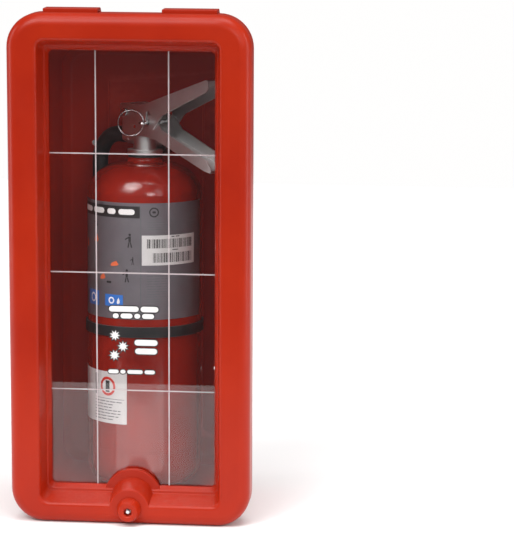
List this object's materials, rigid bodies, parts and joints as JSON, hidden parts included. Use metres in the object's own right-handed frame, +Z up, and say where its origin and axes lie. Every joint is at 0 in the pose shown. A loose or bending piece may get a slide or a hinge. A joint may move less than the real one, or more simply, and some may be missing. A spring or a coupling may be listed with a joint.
{
  "type": "fire extinguisher in a wall cabinet",
  "caption": "Small dry-powder fire extinguisher with squeeze valve, pull pin, gauge and hose, standing in a red wall cabinet with a clear scored break panel and a screw-locked swing cover.",
  "frame": {"origin": "middle of the cabinet's back wall, on the wall plane", "axes": "+Y into the wall, along the outward normal of the back wall; +Z up, along the object's longest extent; +X to the right when facing the cover"},
  "size_m": [0.222, 0.1947, 0.474],
  "materials": {
    "red_plastic": "satin moulded polystyrene",
    "red_clip": "dull moulded",
    "clear_panel": "clear polished sheet",
    "clear_lens": "clear",
    "red_paint": "gloss powder coat",
    "powder": "dry powder",
    "printed_label": "silver printed film",
    "white_label": "printed film",
    "brass": "machined",
    "steel": "bright zinc",
    "plated_metal": "satin nickel plate",
    "black_plastic": "moulded",
    "hose_rubber": "smooth extruded",
    "seal_rubber": "plain"
  },
  "bodies": {
    "cabinet": {"cabinet_body": "red_plastic", "threaded_insert": "brass"},
    "cover": {"break_panel": "clear_panel", "clip_screw_1": "steel", "clip_screw_2": "steel", "clip_screw_3": "steel", "clip_screw_4": "steel", "clip_screw_5": "steel", "clip_screw_6": "steel", "cover_frame": "red_plastic", "panel_clip_1": "red_clip", "panel_clip_2": "red_clip", "panel_clip_3": "red_clip", "panel_clip_4": "red_clip", "panel_clip_5": "red_clip", "panel_clip_6": "red_clip"},
    "lock_washer": {"lock_washer": "steel"},
    "lock_screw": {"lock_head": "red_plastic", "lock_stud": "steel"},
    "lever": {"squeeze_lever": "plated_metal"},
    "stem": {"valve_stem": "brass", "stem_seal": "seal_rubber"},
    "pull_pin": {"pull_pin": "steel"},
    "pull_ring": {"pull_ring": "steel"},
    "needle": {"gauge_needle": "black_plastic"},
    "bottle": {"bar_sticker": "white_label", "bourdon_tube": "brass", "carry_handle": "plated_metal", "cylinder_shell": "red_paint", "discharge_hose": "hose_rubber", "gauge_case": "steel", "gauge_dial": "white_label", "gauge_lens": "clear_lens", "handle_rivet_1": "steel", "handle_rivet_2": "steel", "hose_clip": "black_plastic", "hose_coupling": "plated_metal", "hose_strap": "black_plastic", "instruction_label": "printed_label", "lever_pivot_pin": "steel", "lower_label": "white_label", "neck_seal": "seal_rubber", "nozzle": "black_plastic", "nozzle_ferrule": "steel", "powder_charge": "powder", "siphon_tube": "black_plastic", "valve_body": "plated_metal", "valve_spring": "steel"}
  },
  "joints": [
    {"name": "cover_swing", "type": "hinge", "parent": "cabinet", "child": "cover", "pos_m": [0, -0.17996, 0.24284], "axis": [-1, 0, 0], "range_deg": [0, 85]},
    {"name": "lock_turn", "type": "hinge", "parent": "lock_washer", "child": "lock_screw", "pos_m": [0, -0.18145, -0.2109], "axis": [0, -0.9996, -0.0298], "range_deg": [0, 1080]},
    {"name": "lock_travel", "type": "slide", "parent": "cover", "child": "lock_washer", "axis": [0, -0.9996, -0.0298], "range_m": [0, 0.009]},
    {"name": "bottle_lift", "type": "slide", "parent": "cabinet", "child": "bottle", "axis": [0, 0, 1], "range_m": [0, 0.012]},
    {"name": "lever_squeeze", "type": "hinge", "parent": "bottle", "child": "lever", "pos_m": [-0.00919, -0.07029, 0.1473], "axis": [0.6428, 0.766, 0], "range_deg": [0, 14], "stiffness_Nm_per_rad": 0.6, "springref_deg": -14.32},
    {"name": "stem_push", "type": "slide", "parent": "bottle", "child": "stem", "axis": [0, 0, -1], "range_m": [0, 0.0031], "deforming": ["valve_spring"]},
    {"name": "pin_pull", "type": "slide", "parent": "bottle", "child": "pull_pin", "axis": [-0.6428, -0.766, 0], "range_m": [0, 0.036]},
    {"name": "ring_swing", "type": "hinge", "parent": "pull_pin", "child": "pull_ring", "pos_m": [0.00195, -0.10601, 0.1393], "axis": [0, 0, 1], "range_deg": [-40, 60]},
    {"name": "needle_turn", "type": "hinge", "parent": "bottle", "child": "needle", "pos_m": [0.01697, -0.05778, 0.1188], "axis": [0.6428, 0.766, 0], "range_deg": [-75, 60], "stiffness_Nm_per_rad": 0.001}
  ],
  "couplings": [
    {"joint": "lock_turn", "follows": "lock_travel", "rad_per_m": 2094.3},
    {"joint": "stem_push", "follows": "lever_squeeze", "m_per_rad": 0.012687}
  ]
}
